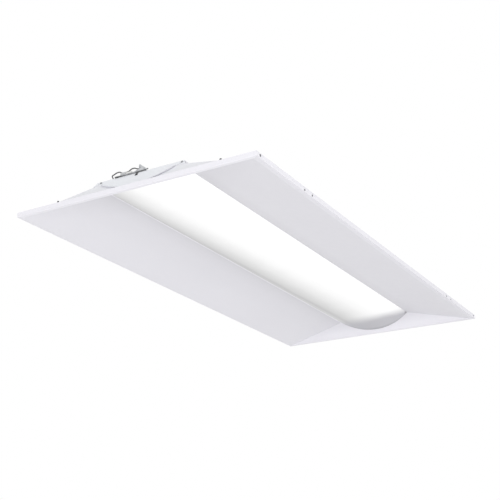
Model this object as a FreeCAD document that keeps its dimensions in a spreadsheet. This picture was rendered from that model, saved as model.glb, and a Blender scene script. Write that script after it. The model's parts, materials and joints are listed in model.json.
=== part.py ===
import FreeCAD, Part
import Sketcher
import math
import os

# Recessed troffer light, nominal 2 ft x 4 ft, centre lens, lay-in grid.
# Frame: X short side, Y long side, Z up. Origin: middle of the bottom rim plane.

os.makedirs("parts", exist_ok=True)
doc = FreeCAD.newDocument("troffer")
V = FreeCAD.Vector

# ---------------------------------------------------------------- sizes (mm)
SIZES = [
    ("half_width", 301.625, "half of the outside width"),
    ("half_length", 606.425, "half of the outside length"),
    ("rim_height", 11.1, "height of the outer rim"),
    ("sheet_t", 0.75, "steel sheet"),
    ("side_flange", 9.6, "flat rim flange on the long sides"),
    ("end_flange", 8.0, "flat rim flange on the short sides"),
    ("lens_half", 107.0, "half width of the lens opening"),
    ("lens_edge_z", 41.0, "height of the panel's inner edge"),
    ("lens_crown_z", 9.3, "lowest line of the lens"),
    ("lens_t", 1.6, "lens wall"),
    ("lens_gap", 0.6, "gap between lens and panel edge"),
    ("lens_lip", 5.2, "how far the lens lip reaches over the hem"),
    ("end_run", 22.4, "plan depth of the steep end slope"),
    ("hem_width", 6.0, "folded hem on the inner edge"),
    ("mitre_gap", 0.12, "half of the gap at the mitres"),
    ("channel_z", 51.5, "top of the centre channel"),
    ("channel_half", 111.0, "half width of the channel top"),
    ("channel_foot", 118.5, "where the channel wall meets the panel"),
    ("channel_flange", 10.0, "channel flange on the panel back"),
    ("channel_end", 569.6, "half length of the channel"),
    ("plate_arc", 5.4, "end plate edge above the lens arc"),
    ("cut_arc", 12.0, "end panel cut-out above the lens arc"),
    ("plate_lip", 3.2, "outward lip on the end plate's arc edge"),
    ("slot_w", 4.4, "clip slot width"),
    ("slot_z0", 1.6, "clip slot bottom"),
    ("slot_z1", 8.6, "clip slot top"),
    ("clip_y", 399.0, "clip centre from the middle"),
    ("slot_half", 16.5, "half distance between the slots of a pair"),
    ("clip_ax_in", 3.475, "clip axis inside the rail's outer face"),
    ("clip_az", 5.1, "clip axis height"),
    ("clip_len", 37.0, "clip leaf length"),
    ("clip_t", 0.8, "clip steel"),
    ("clip_hook", 9.0, "clip hook lip"),
    ("clip_half", 13.0, "half width of the clip leaf"),
    ("clip_barrel_r", 3.2, "rolled barrels of the clip, on its axis"),
    ("corner_head_r", 3.0, "flush head of a corner rivet"),
    ("corner_rivet_r", 1.6, "shank of a corner rivet"),
    ("corner_hole_in", 13.3, "corner rivet from the end"),
    ("corner_hole_z", 5.7, "corner rivet height"),
    ("tab_len", 18.0, "corner tab length"),
    ("board_x", 45.0, "LED board centre line"),
    ("board_w", 24.0, "LED board width"),
    ("board_t", 1.6, "LED board thickness"),
    ("board_half", 552.0, "half length of an LED board"),
    ("led_w", 3.0, "LED package width"),
    ("led_l", 3.5, "LED package length"),
    ("led_t", 0.7, "LED package height"),
    ("led_pitch", 24.0, "LED spacing"),
    ("box_y0", -508.0, "near end of the wiring compartment"),
    ("box_y1", -148.0, "far end of the wiring compartment"),
    ("box_half", 60.0, "half width of the wiring compartment"),
    ("box_top", 79.7, "top of the wiring compartment"),
    ("box_flange", 13.0, "foot flange of the wiring compartment"),
    ("knock_r", 11.1, "conduit knockout radius"),
    ("knock_y", -462.0, "conduit knockout from the middle"),
    ("knock_z", 65.6, "conduit knockout height"),
    ("hatch_x0", -34.0, "access opening"),
    ("hatch_x1", 34.0, "access opening"),
    ("hatch_y0", -492.0, "access opening"),
    ("hatch_y1", -446.0, "access opening"),
    ("plate_over", 9.0, "access plate overlap"),
    ("pivot_x", -38.5, "access plate pivot"),
    ("pivot_y", -496.5, "access plate pivot"),
    ("screw_r", 1.75, "machine screw shank"),
    ("screw_head_r", 3.6, "machine screw head"),
    ("screw_head_h", 2.1, "machine screw head height"),
    ("driver_y0", -452.0, "driver near end"),
    ("driver_y1", -192.0, "driver far end"),
    ("driver_half", 20.0, "half width of the driver"),
    ("driver_h", 24.0, "driver height"),
    ("driver_x", 14.0, "driver centre line"),
    ("wire_r", 1.3, "lead radius"),
    ("bush_x", -8.0, "snap bushing"),
    ("bush_z", 64.0, "snap bushing"),
    ("bush_r", 5.2, "snap bushing inner radius"),
    ("ground_x", 22.0, "ground screw"),
    ("ground_y", -476.0, "ground screw"),
    ("grommet_y", -172.0, "grommet in the channel"),
    ("grommet_x", 14.0, "grommet in the channel"),
    ("grommet_r", 3.4, "grommet inner radius"),
]

sheet = doc.addObject("Spreadsheet::Sheet", "Sizes")
for row, (alias, value, note) in enumerate(SIZES, start=1):
    sheet.set("A%d" % row, alias)
    sheet.set("B%d" % row, repr(float(value)))
    sheet.set("C%d" % row, note)
    sheet.setAlias("B%d" % row, alias)
doc.recompute()


class Dim:
    """A size that knows both its number and the sheet expression behind it."""

    def __init__(self, v, s=None):
        self.v = float(v)
        self.s = s if s is not None else ("%.8g" % float(v))

    def __add__(self, o):
        o = dim(o)
        return Dim(self.v + o.v, "(%s + %s)" % (self.s, o.s))

    def __radd__(self, o):
        return dim(o) + self

    def __sub__(self, o):
        o = dim(o)
        return Dim(self.v - o.v, "(%s - %s)" % (self.s, o.s))

    def __rsub__(self, o):
        return dim(o) - self

    def __mul__(self, o):
        o = dim(o)
        return Dim(self.v * o.v, "(%s * %s)" % (self.s, o.s))

    def __rmul__(self, o):
        return dim(o) * self

    def __truediv__(self, o):
        o = dim(o)
        return Dim(self.v / o.v, "(%s / %s)" % (self.s, o.s))

    def __rtruediv__(self, o):
        return dim(o) / self

    def __neg__(self):
        return Dim(-self.v, "(0 - %s)" % self.s)


def dim(x):
    return x if isinstance(x, Dim) else Dim(x)


def root(x):
    return Dim(math.sqrt(x.v), "sqrt(%s)" % x.s)


S = {}
for alias, value, note in SIZES:
    S[alias] = Dim(float(getattr(sheet, alias)), "Sizes." + alias)

hw, hl, t = S["half_width"], S["half_length"], S["sheet_t"]
rail = hw - t                                   # outer face of the long rails
fx = hw - S["side_flange"]                      # inner edge of the side flange
fy = hl - S["end_flange"]                       # inner edge of the end flange
lh, ez = S["lens_half"], S["lens_edge_z"]
m = ez / (fx - lh)                              # slope of the side panels
k = root(1 + m * m)
me = ez / S["end_run"]                          # slope of the end panels
ke = root(1 + 1 / (me * me))
rise = ez - S["lens_crown_z"]
R = (lh * lh + rise * rise) / (2 * rise)        # lens arc
zc = S["lens_crown_z"] + R


def mitre_y(x):
    """plan line where the side panels meet the end slopes"""
    return fy - (fx - x) * (S["end_run"] / (fx - lh))


def under(x):
    """underside height of a side panel at x"""
    return (fx - x) * m


def back(x, layers=1.0):
    """height over a side panel at x, counted in sheets"""
    return (fx - x) * m + layers * t * k


def steep(z, layers=0.0):
    """distance from the middle of the steep end slope at height z"""
    return fy - z / me + layers * t * ke


# ---------------------------------------------------------------- helpers
AXIS = {"XY": "XY_Plane", "XZ": "XZ_Plane", "YZ": "YZ_Plane"}


def bind(sk, con, d):
    i = sk.addConstraint(con)
    sk.setExpression("Constraints[%d]" % i, d.s)


def draw(sk, loops):
    for loop in loops:
        if loop[0] == "circle":
            _, cx, cy, r = loop
            cx, cy, r = dim(cx), dim(cy), dim(r)
            g = sk.addGeometry(Part.Circle(V(cx.v, cy.v, 0), V(0, 0, 1), r.v), False)
            bind(sk, Sketcher.Constraint("Radius", g, r.v), r)
            bind(sk, Sketcher.Constraint("DistanceX", -1, 1, g, 3, cx.v), cx)
            bind(sk, Sketcher.Constraint("DistanceY", -1, 1, g, 3, cy.v), cy)
            continue
        pts, segs = [], []
        for item in loop:
            if isinstance(item[0], str):
                segs[-1] = item
            else:
                pts.append((dim(item[0]), dim(item[1])))
                segs.append(None)
        n = len(pts)
        ends = []
        free_x, free_y = set(), set()
        for i in range(n):
            p, q = pts[i], pts[(i + 1) % n]
            if segs[i] is None:
                g = sk.addGeometry(Part.LineSegment(V(p[0].v, p[1].v, 0), V(q[0].v, q[1].v, 0)), False)
                ends.append((g, 1, 2))
            else:
                _, cx, cy, r, way = segs[i]
                cx, cy, r = dim(cx), dim(cy), dim(r)
                circ = Part.Circle(V(cx.v, cy.v, 0), V(0, 0, 1), r.v)
                ap = math.atan2(p[1].v - cy.v, p[0].v - cx.v)
                aq = math.atan2(q[1].v - cy.v, q[0].v - cx.v)
                a0, a1 = (ap, aq) if way > 0 else (aq, ap)
                while a1 <= a0:
                    a1 += 2 * math.pi
                g = sk.addGeometry(Part.ArcOfCircle(circ, a0, a1), False)
                ends.append((g, 1, 2) if way > 0 else (g, 2, 1))
                bind(sk, Sketcher.Constraint("Radius", g, r.v), r)
                bind(sk, Sketcher.Constraint("DistanceX", -1, 1, g, 3, cx.v), cx)
                bind(sk, Sketcher.Constraint("DistanceY", -1, 1, g, 3, cy.v), cy)
                for j in (i, (i + 1) % n):
                    flat_end = abs(pts[j][0].v - cx.v) > 3 * abs(pts[j][1].v - cy.v)
                    (free_x if flat_end else free_y).add(j)
        for i in range(n):
            g, a, b = ends[i]
            g2, a2, b2 = ends[(i + 1) % n]
            sk.addConstraint(Sketcher.Constraint("Coincident", g, b, g2, a2))
        for i in range(n):
            g, a, b = ends[i]
            x, y = pts[i]
            if i not in free_x:
                bind(sk, Sketcher.Constraint("DistanceX", -1, 1, g, a, x.v), x)
            if i not in free_y:
                bind(sk, Sketcher.Constraint("DistanceY", -1, 1, g, a, y.v), y)


def sketch(body, plane, loops, at=0.0):
    at = dim(at)
    sk = body.newObject("Sketcher::SketchObject", body.Name + "_outline")
    origin = [o for o in body.Origin.OriginFeatures if o.Role == AXIS[plane]][0]
    sk.AttachmentSupport = [(origin, "")]
    sk.MapMode = "FlatFace"
    off = -at if plane == "XZ" else at
    if abs(at.v) > 1e-12:
        sk.AttachmentOffset = FreeCAD.Placement(V(0, 0, off.v), FreeCAD.Rotation())
        sk.setExpression("AttachmentOffset.Base.z", off.s)
    draw(sk, loops)
    return sk


def solid(name, plane, loops, at, length, compound=False):
    """body with one pad, centred at `at` along the plane's normal"""
    body = doc.addObject("PartDesign::Body", name.replace("-", "_"))
    body.Label = name
    if compound:
        body.AllowCompound = True
    pad(body, plane, loops, at, length)
    return body


def pad(body, plane, loops, at, length):
    sk = sketch(body, plane, loops, at)
    p = body.newObject("PartDesign::Pad", body.Name + "_pad")
    p.Profile = sk
    length = dim(length)
    p.Length = length.v
    p.setExpression("Length", length.s)
    p.Midplane = True
    sk.Visibility = False
    doc.recompute()
    return p


def pocket(body, plane, loops, at, length):
    sk = sketch(body, plane, loops, at)
    before = body.Shape.Volume
    p = body.newObject("PartDesign::Pocket", body.Name + "_pocket")
    p.Profile = sk
    length = dim(length)
    p.Length = length.v
    p.setExpression("Length", length.s)
    p.Midplane = True
    sk.Visibility = False
    doc.recompute()
    if not body.Shape.Volume < before:
        raise RuntimeError("pocket cut nothing: " + body.Label)
    return p


def fillet(body, radius, test):
    tip = body.Tip
    names = []
    for i, e in enumerate(tip.Shape.Edges, start=1):
        if len(e.Vertexes) == 2 and test(e):
            names.append("Edge%d" % i)
    f = body.newObject("PartDesign::Fillet", body.Name + "_fillet")
    f.Base = (tip, names)
    f.Radius = radius
    doc.recompute()
    return f


def runs_y(e, x, z, tol=0.05):
    a, b = e.Vertexes[0].Point, e.Vertexes[1].Point
    return (abs(a.x - x) < tol and abs(b.x - x) < tol and abs(a.z - z) < tol and abs(b.z - z) < tol
            and abs(a.y - b.y) > 20)


def cylinder(name, r, h, base, turn=None):
    c = doc.addObject("Part::Cylinder", name)
    r, h = dim(r), dim(h)
    c.Radius, c.Height = r.v, h.v
    c.setExpression("Radius", r.s)
    c.setExpression("Height", h.s)
    c.Placement = FreeCAD.Placement(base, turn if turn else FreeCAD.Rotation())
    return c


def fuse(name, parts):
    f = doc.addObject("Part::MultiFuse", name)
    f.Shapes = parts
    f.Label = name
    doc.recompute()
    for p in parts:
        p.Visibility = False
    return f


def cut(name, base, tool):
    f = doc.addObject("Part::Cut", name)
    f.Base, f.Tool = base, tool
    f.Label = name
    doc.recompute()
    base.Visibility = False
    tool.Visibility = False
    return f


def common(name, parts):
    f = doc.addObject("Part::MultiCommon", name)
    f.Shapes = parts
    f.Label = name
    doc.recompute()
    for p in parts:
        p.Visibility = False
    return f


def fasteners(name, spots, head_r, head_h, shank_r, shank_l, cross=0.0):
    """pan heads with shanks; a spot is the middle of the head's seat and the way the head points"""
    parts, slots = [], []
    for i, (base, turn) in enumerate(spots):
        rot = turn if turn else FreeCAD.Rotation()
        r, h = dim(head_r).v, dim(head_h).v
        parts.append(cylinder("%s_head_%d" % (name, i), head_r, dim(head_h) * 0.55, base, turn))
        parts.append(cone("%s_dome_%d" % (name, i), r, r * 0.74, h * 0.45, base + rot.multVec(V(0, 0, h * 0.55)), rot))
        for j, (a, b) in enumerate(((cross, 0.4), (0.4, cross)) if cross else ()):
            arm = doc.addObject("Part::Box", "%s_arm_%d_%d" % (name, i, j))
            arm.Length, arm.Width, arm.Height = 2 * a, 2 * b, h
            arm.Placement = FreeCAD.Placement(base + rot.multVec(V(-a, -b, h * 0.45)), rot)
            slots.append(arm)
        down = turn.multVec(V(0, 0, -1)) if turn else V(0, 0, -1)
        start = base + down * dim(shank_l).v
        parts.append(cylinder("%s_shank_%d" % (name, i), shank_r, dim(shank_l) + 0.2, start, turn))
    if not slots:
        return fuse(name, parts)
    return cut(name, fuse(name + "_plain", parts), fuse(name + "_recesses", slots))


def lead(name, points, r, first, last):
    """round lead along straight runs joined by tangent arcs, straight at both ends"""
    p = [V(*q) for q in points]
    p = [p[0] - V(*first)] + p + [p[-1] + V(*last)]
    edges = []
    here = p[0]
    length = 0.0
    for a, b, c in zip(p, p[1:], p[2:]):
        u, w = b - a, c - b
        lu, lw = u.Length, w.Length
        u.normalize()
        w.normalize()
        turn = u.getAngle(w)
        if turn < 0.02:
            continue
        d = 0.45 * min(lu, lw)
        bend = d / math.tan(turn / 2)
        inward = w - u
        inward.normalize()
        centre = b + inward * (bend / math.cos(turn / 2))
        t1, t2, mid = b - u * d, b + w * d, centre - inward * bend
        if bend < 2.2 * r:
            raise RuntimeError("%s: bend too tight, %.1f mm" % (name, bend))
        if (t1 - here).Length > 1e-6:
            edges.append(Part.makeLine(here, t1))
        edges.append(Part.Arc(t1, mid, t2).toShape())
        here = t2
    edges.append(Part.makeLine(here, p[-1]))
    path = Part.Wire(edges)
    way = p[1] - p[0]
    ring = Part.Wire([Part.makeCircle(r, p[0], way)])
    shape = path.makePipeShell([ring], True, True)
    if abs(shape.Volume - math.pi * r * r * path.Length) > 0.03 * shape.Volume:
        raise RuntimeError(name + ": the lead's volume doesn't match its length")
    obj = doc.addObject("Part::Feature", name)
    obj.Shape = shape
    obj.Label = name
    return obj


def rect(x0, y0, x1, y1):
    return [(x0, y0), (x1, y0), (x1, y1), (x0, y1)]


def mirror_x(loop):
    out = []
    for item in loop:
        if isinstance(item[0], str):
            if item[0] == "circle":
                return ("circle", -dim(item[1]), item[2], item[3])
            out.append((item[0], -dim(item[1]), item[2], item[3], -item[4]))
        else:
            out.append((-dim(item[0]), item[1]))
    return out


NODES = []


def node(obj):
    NODES.append(obj)
    return obj


# ---------------------------------------------------------------- side panels
# Rim wall, flat flange, sloping reflector and folded hem: one folded sheet.
hem_x = lh + S["hem_width"]
side_profile = [
    (rail, 0), (rail, S["rim_height"]), (rail - t, S["rim_height"]), (rail - t, t),
    (fx + t * (k - 1) / m, t),
    (hem_x, back(hem_x)), (hem_x, back(hem_x, 2)), (lh, back(lh, 2)), (lh, ez), (fx, 0),
]
g = S["mitre_gap"]
steep_lh = fy - S["end_run"]
rail_y = hl - t - 0.06


def side_panel(name, sign):
    loop = side_profile if sign > 0 else mirror_x(side_profile)
    body = solid(name, "XZ", [loop], 0, 2 * rail_y)
    # mitred ends, cut to the slope of the end panels
    ends = []
    for s in (1, -1):
        e = [(lh - 5, s * (steep_lh - g)), (lh, s * (steep_lh - g)), (fx, s * (fy - g)),
             (rail, s * rail_y), (rail, s * (hl + 10)), (lh - 5, s * (hl + 10))]
        ends.append(e if sign > 0 else mirror_x(e))
    pocket(body, "XY", ends, 20, 200)
    # pairs of slots for the grid clips and one hole near each end of the rail
    cuts = []
    for s in (1, -1):
        for q in (1, -1):
            y = s * S["clip_y"] + q * S["slot_half"]
            cuts.append(rect(y - S["slot_w"] / 2, S["slot_z0"], y + S["slot_w"] / 2, S["slot_z1"]))
        cuts.append(("circle", s * (hl - S["corner_hole_in"]), S["corner_hole_z"], S["corner_rivet_r"] + 0.15))
    pocket(body, "YZ", cuts, sign * rail, 6)
    # seats of the end panel rivets
    pocket(body, "XY", [("circle", sign * 206.0, 584.5, 1.9), ("circle", sign * 206.0, -584.5, 1.9)], 20, 60)
    hx = sign * lh.v
    fillet(body, 0.62, lambda e: runs_y(e, hx, ez.v) or runs_y(e, hx, back(lh, 2).v))
    return node(body)


side_panel("side_panel_left", -1)
side_panel("side_panel_right", 1)


# ---------------------------------------------------------------- end panels
corner_y = hl - S["corner_hole_in"]


def corner_r(out):
    """radius of the countersink in a corner tab, at a distance outside the tab's face"""
    return S["corner_head_r"].v + out * (S["corner_head_r"].v - S["corner_rivet_r"].v - 0.15) / t.v


def inward(q):
    return FreeCAD.Rotation(V(0, 0, 1), V(-q, 0, 0))


def cone(name, r1, r2, height, base, turn):
    obj = doc.addObject("Part::Cone", name)
    obj.Radius1, obj.Radius2, obj.Height = r1, r2, height
    obj.Placement = FreeCAD.Placement(base, turn)
    obj.Label = name
    return obj


# screws of the channel end plate at the near end; the far end is the same, turned half round
PLATE_SCREWS = ((-99.0, 46.2), (108.0, 46.5))


# Rim wall, flat flange and steep slope with the arc cut-out behind the lens end.
def end_panel(name, s):
    top = S["channel_z"] - 0.6
    prof = [(s * hl, 0), (s * hl, S["rim_height"]), (s * (hl - t), S["rim_height"]), (s * (hl - t), t),
            (s * (fy + t * (ke - 1 / me)), t),
            (s * steep(top, 1), top), (s * steep(top), top), (s * fy, 0)]
    body = solid(name + "_sheet", "YZ", [prof], 0, 2 * hw)
    cuts = []
    for q in (1, -1):
        e = [(lh + 5.5, s * (steep_lh - 20)), (lh + 5.5, s * (steep_lh - 2.2)), (lh, s * (steep_lh - 2.2)),
             (lh, s * (steep_lh + g)), (fx, s * (fy + g)), (rail, s * (hl - t)),
             (hw + 5, s * (hl - t)), (hw + 5, s * (steep_lh - 20))]
        cuts.append(e if q > 0 else mirror_x(e))
    pocket(body, "XY", cuts, 30, 100)
    pocket(body, "XZ", [("circle", 0, zc, R - S["cut_arc"])], s * 580, 60)
    # corner tabs folded round the ends of the long rails
    z0, z1 = dim(1.0), dim(10.4)
    rt = (z1 - z0) / 2
    y_in = hl - S["tab_len"]
    for q in (1, -1):
        tab = [(s * (hl - t / 2), z0), (s * (hl - t / 2), z1), (s * (y_in + rt), z1),
               ("arc", s * (y_in + rt), (z0 + z1) / 2, rt, s), (s * (y_in + rt), z0)]
        sk_loops = [tab]
        pad(body, "YZ", sk_loops, q * (hw - t / 2 + 0.01), t - 0.02)
    # screw seats for the channel end plate
    for x, z in PLATE_SCREWS:
        pocket(body, "XZ", [("circle", -s * x, z, 1.9)], s * 574, 30)
    # flanges along the mitres that lie on the side panel backs and take the rivets
    parts = [body]
    x0, x1 = dim(132.0), dim(282.0)
    for q in (1, -1):
        side = "right" if q > 0 else "left"
        plan = [(x0, s * (mitre_y(x0) - 11.0)), (x1, s * (mitre_y(x1) - 11.0)), (x1, s * (mitre_y(x1) + 0.4)),
                (x0, s * (mitre_y(x0) + 0.4))]
        slab = [(x0, back(x0) + 0.02), (x1, back(x1) + 0.02), (x1, back(x1, 2) + 0.02), (x0, back(x0, 2) + 0.02)]
        a = solid("%s_plan_%s" % (name, side), "XY", [plan if q > 0 else mirror_x(plan)], 20, 60)
        b = solid("%s_slab_%s" % (name, side), "XZ", [slab if q > 0 else mirror_x(slab)], s * 583, 60)
        parts.append(common("%s_flange_%s" % (name, side), [a, b]))
    both = fuse(name + "_folded", parts)
    drills = fuse(name + "_drills", [cylinder("%s_drill_%d" % (name, i), 1.9, 30, V(q * 206.0, s * 584.5, 5.0))
                                     for i, q in enumerate((1, -1))]
                  + [cone("%s_sink_%d" % (name, i), corner_r(0.06), corner_r(-0.81), 0.87,
                          V(q * (hw.v + 0.06), s * corner_y.v, S["corner_hole_z"].v), inward(q))
                     for i, q in enumerate((1, -1))])
    return node(cut(name, both, drills))


end_panel("end_panel_near", -1)
end_panel("end_panel_far", 1)

# ---------------------------------------------------------------- centre channel
cf, ch, cz = S["channel_foot"], S["channel_half"], S["channel_z"]
cend = cf + S["channel_flange"]
wt = t * 1.19
lift = 0.03
mid_foot_z = back(cf, 2) + lift
slope = (cf - ch) / (cz - mid_foot_z)
right = [(ch, cz), (cf, mid_foot_z), (cend, back(cend, 2) + lift), (cend, back(cend) + lift),
         (cf - wt, back(cf - wt) + lift), (ch + slope * t - wt, cz - t)]
left = [(-p[0], p[1]) for p in reversed(right)]
channel = solid("centre_channel", "XZ", [right + left], 0, 2 * S["channel_end"])
holes = [("circle", S["grommet_x"], S["grommet_y"], S["grommet_r"] + 1.6)]
for q in (1, -1):
    for y in (-480.0, -288.0, -96.0, 96.0, 288.0, 480.0):
        holes.append(("circle", q * (S["board_x"] + 9.0), y, 1.6))
box_mid = (S["box_y0"] + S["box_y1"]) / 2
for q in (1, -1):
    for y in (S["box_y0"] + 14, S["box_y1"] - 14):
        holes.append(("circle", q * (S["box_half"] + 7.0), y, 1.8))
holes.append(("circle", S["driver_x"], S["driver_y0"] - 7.0, 1.8))
holes.append(("circle", S["driver_x"], S["driver_y1"] + 7.0, 1.8))
holes.append(("circle", S["ground_x"], S["ground_y"], 1.8))
holes.append(("circle", 6.0, -556.0, 1.8))
pocket(channel, "XY", holes, cz, 6)
node(channel)


# ---------------------------------------------------------------- channel end plates
# Plates outside the steep slope that close the channel; the arc edge is turned outward.
def end_plate(name, s):
    gap = 0.05
    r_edge = R - S["plate_arc"]

    def slab(nm, lo, hi, z0, z1, pad_half):
        loop = [(s * (steep(dim(z0), lo) + gap), z0), (s * (steep(dim(z1), lo) + gap), z1),
                (s * (steep(dim(z1), hi) + gap), z1), (s * (steep(dim(z0), hi) + gap), z0)]
        return solid(nm, "YZ", [loop], 0, 2 * pad_half)

    base = slab(name + "_slab", 1.0, 2.0, 5.0, S["channel_z"], 130.0)
    zt = S["channel_z"] + 0.01
    x_top, x_low, z_low = ch, cf - 0.9, back(cf, 2) + 0.6
    outline = [(-x_top, zt), (-x_low, z_low), (-lh, z_low), (-lh, zc - root(r_edge * r_edge - lh * lh)),
               ("arc", 0, zc, r_edge, 1),
               (lh, zc - root(r_edge * r_edge - lh * lh)), (lh, z_low), (x_low, z_low), (x_top, zt)]
    # the arc end stays below the shoulder, so the outline is one closed loop
    face = solid(name + "_outline", "XZ", [outline], s * 585, 80)
    plate = common(name + "_plate", [base, face])
    lip_slab = slab(name + "_lip_slab", 1.5, 2.0 + S["plate_lip"].v / t.v, 5.0, dim(46.0), 130.0)
    ring = solid(name + "_ring", "XZ",
                 [[(-96.0, zc - root(r_edge * r_edge - 96.0 * 96.0)), ("arc", 0, zc, r_edge, 1),
                   (96.0, zc - root(r_edge * r_edge - 96.0 * 96.0)),
                   (96.0, zc - root((r_edge - t) * (r_edge - t) - 96.0 * 96.0)), ("arc", 0, zc, r_edge - t, -1),
                   (-96.0, zc - root((r_edge - t) * (r_edge - t) - 96.0 * 96.0))]], s * 585, 80)
    lip = common(name + "_lip", [lip_slab, ring])
    both = fuse(name + "_sheet", [plate, lip])
    turn = FreeCAD.Rotation(V(1, 0, 0), -s * math.degrees(math.acos(1 / math.sqrt(1 + me.v * me.v))))
    drills = []
    for i, (x, z) in enumerate(PLATE_SCREWS):
        drills.append(cylinder("%s_drill_%d" % (name, i), 1.8, 30, V(-s * x, s * steep(dim(z)).v, z)
                               + turn.multVec(V(0, 0, -15)), turn))
    return node(cut(name, both, fuse(name + "_drills", drills)))


end_plate("channel_end_plate_near", -1)
end_plate("channel_end_plate_far", 1)

# ---------------------------------------------------------------- lens
lx = lh - S["lens_gap"]
lt = S["lens_t"]
lip_z = back(lh, 2) + 0.05
z_out = zc - root(R * R - lx * lx)
z_in = zc - root((R - lt) * (R - lt) - (lx - lt) * (lx - lt))
lens_loop = [(-lx, z_out), ("arc", 0, zc, R, 1), (lx, z_out), (lx, lip_z), (lx + S["lens_lip"], lip_z),
             (lx + S["lens_lip"], lip_z + lt), (lx - lt, lip_z + lt), (lx - lt, z_in),
             ("arc", 0, zc, R - lt, -1), (-(lx - lt), z_in), (-(lx - lt), lip_z + lt),
             (-(lx + S["lens_lip"]), lip_z + lt), (-(lx + S["lens_lip"]), lip_z), (-lx, lip_z)]
lens = solid("lens", "XZ", [lens_loop], 0, 2 * (fy + 1))
ends = []
for s in (1, -1):
    gz = 0.35
    ends.append([(s * (steep(dim(0)) - gz), 0), (s * (steep(dim(60)) - gz), 60), (s * (hl + 20), 60), (s * (hl + 20), 0)])
pocket(lens, "YZ", ends, 0, 300)
node(lens)

# ---------------------------------------------------------------- LED boards
bz = cz - t - 0.02
bx, bw, bt = S["board_x"], S["board_w"], S["board_t"]
for nm, q in (("left", -1), ("right", 1)):
    body = solid("led_board_" + nm, "XY", [rect(q * bx - bw / 2, -S["board_half"], q * bx + bw / 2, S["board_half"])],
                 bz - bt / 2, bt)
    pocket(body, "XY", [("circle", q * (bx + 9.0), y, 1.6) for y in (-480.0, -288.0, -96.0, 96.0, 288.0, 480.0)],
           bz - bt / 2, 6)
    node(body)
    x0 = q * bx - S["led_w"] / 2
    y0 = -22.5 * S["led_pitch"]
    leds = solid("led_packages_" + nm, "XY",
                 [rect(x0, y0 - S["led_l"] / 2, x0 + S["led_w"], y0 + S["led_l"] / 2)],
                 bz - bt - 0.01 - S["led_t"] / 2, S["led_t"], compound=True)
    first = leds.Tip
    row = leds.newObject("PartDesign::LinearPattern", "leds_row_" + nm)
    row.Originals = [first]
    row.Direction = (first.Profile[0], ["V_Axis"])
    row.Length = (45 * S["led_pitch"]).v
    row.setExpression("Length", (45 * S["led_pitch"]).s)
    row.Occurrences = 46
    leds.Tip = row
    doc.recompute()
    node(leds)

flat = FreeCAD.Rotation(V(1, 0, 0), 180)
spots = []
for q in (1, -1):
    for y in (-480.0, -288.0, -96.0, 96.0, 288.0, 480.0):
        spots.append((V(q * (bx.v + 9.0), y, (bz - bt).v - 0.01), flat))
node(fasteners("led_board_rivets", spots, 3.2, 1.0, 1.5, 3.2))

# plugs that feed the boards
plugs = []
for q in (1, -1):
    x = q * (bx - 6.5)
    plugs.append(rect(x - 3.2, S["grommet_y"] - 14, x + 3.2, S["grommet_y"] - 4))
plug_z = bz - bt - 0.02 - 2.2
feed = solid("led_board_plugs", "XY", plugs, plug_z, 4.4, compound=True)
pocket(feed, "XZ", [("circle", q * (bx - 6.5), plug_z, 1.4) for q in (1, -1)], S["grommet_y"] - 4, 11.0)
node(feed)

# ---------------------------------------------------------------- wiring compartment
y0, y1, bh, bt_z = S["box_y0"], S["box_y1"], S["box_half"], S["box_top"]
fz = cz + 0.02
cover = solid("wiring_cover", "XY", [rect(-bh, y0, bh, y1)], (fz + bt_z) / 2, bt_z - fz)
pocket(cover, "XY", [rect(-(bh - t), y0 + t, bh - t, y1 - t)], (fz - 5 + bt_z - t) / 2, bt_z - t - fz + 5)
for q in (1, -1):
    x = q * (bh - t / 2 + (S["box_flange"] + t / 2) / 2)
    half = (S["box_flange"] + t / 2) / 2
    pad(cover, "XY", [rect(x - half, y0, x + half, y1)], fz + t / 2, t)
pocket(cover, "XY", [rect(S["hatch_x0"], S["hatch_y0"], S["hatch_x1"], S["hatch_y1"])], bt_z, 6)
pocket(cover, "XY", [("circle", S["pivot_x"], S["pivot_y"], S["screw_r"] + 0.05),
                     ("circle", -S["pivot_x"], S["pivot_y"], S["screw_r"] + 0.05)], bt_z, 6)
pocket(cover, "YZ", [("circle", S["knock_y"], S["knock_z"], S["knock_r"])], bh, 6)
pocket(cover, "XZ", [("circle", S["bush_x"], S["bush_z"], S["bush_r"] + 1.6)], y0, 6)
pocket(cover, "XY", [("circle", q * (bh + 7.0), y, 1.85) for q in (1, -1) for y in (y0 + 14, y1 - 14)], fz, 6)
node(cover)
spots = [(V(q * (bh.v + 7.0), y, fz.v + t.v + 0.01), None) for q in (1, -1) for y in (y0.v + 14, y1.v - 14)]
node(fasteners("wiring_cover_screws", spots, S["screw_head_r"], S["screw_head_h"], S["screw_r"], 5.0, 1.9))

# swinging access plate: turns on one screw, hooks under the other
pz = bt_z + 0.05
po = S["plate_over"]
px, py = S["pivot_x"], S["pivot_y"]
ex, ey = -px, py
aw = dim(2.9)
ax0, ax1 = S["hatch_x0"] - po, S["hatch_x1"] + po
ay0, ay1 = S["hatch_y0"] - po, S["hatch_y1"] + po
plate_loop = [(ax0, ay0), (ex - aw, ay0), (ex - aw, ey), ("arc", ex, ey, aw, -1), (ex + aw, ey), (ex + aw, ay0),
              (ax1, ay0), (ax1, ay1), (ax0, ay1)]
hatch = solid("access_plate", "XY", [plate_loop], pz + t / 2, t)
pocket(hatch, "XY", [("circle", px, py, S["screw_r"] + 0.06)], pz, 6)
fillet(hatch, 3.0, lambda e: abs(e.Vertexes[0].Point.z - e.Vertexes[1].Point.z) > 0.5 and
       abs(e.Vertexes[0].Point.y - ay1.v) < 0.1 and abs(e.Vertexes[1].Point.y - ay1.v) < 0.1)
node(hatch)
spots = [(V(q * px.v, py.v, pz.v + t.v + 0.06), None) for q in (1, -1)]
node(fasteners("access_plate_screws", spots, S["screw_head_r"], S["screw_head_h"] - 0.2, S["screw_r"], 4.5, 1.9))

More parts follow.
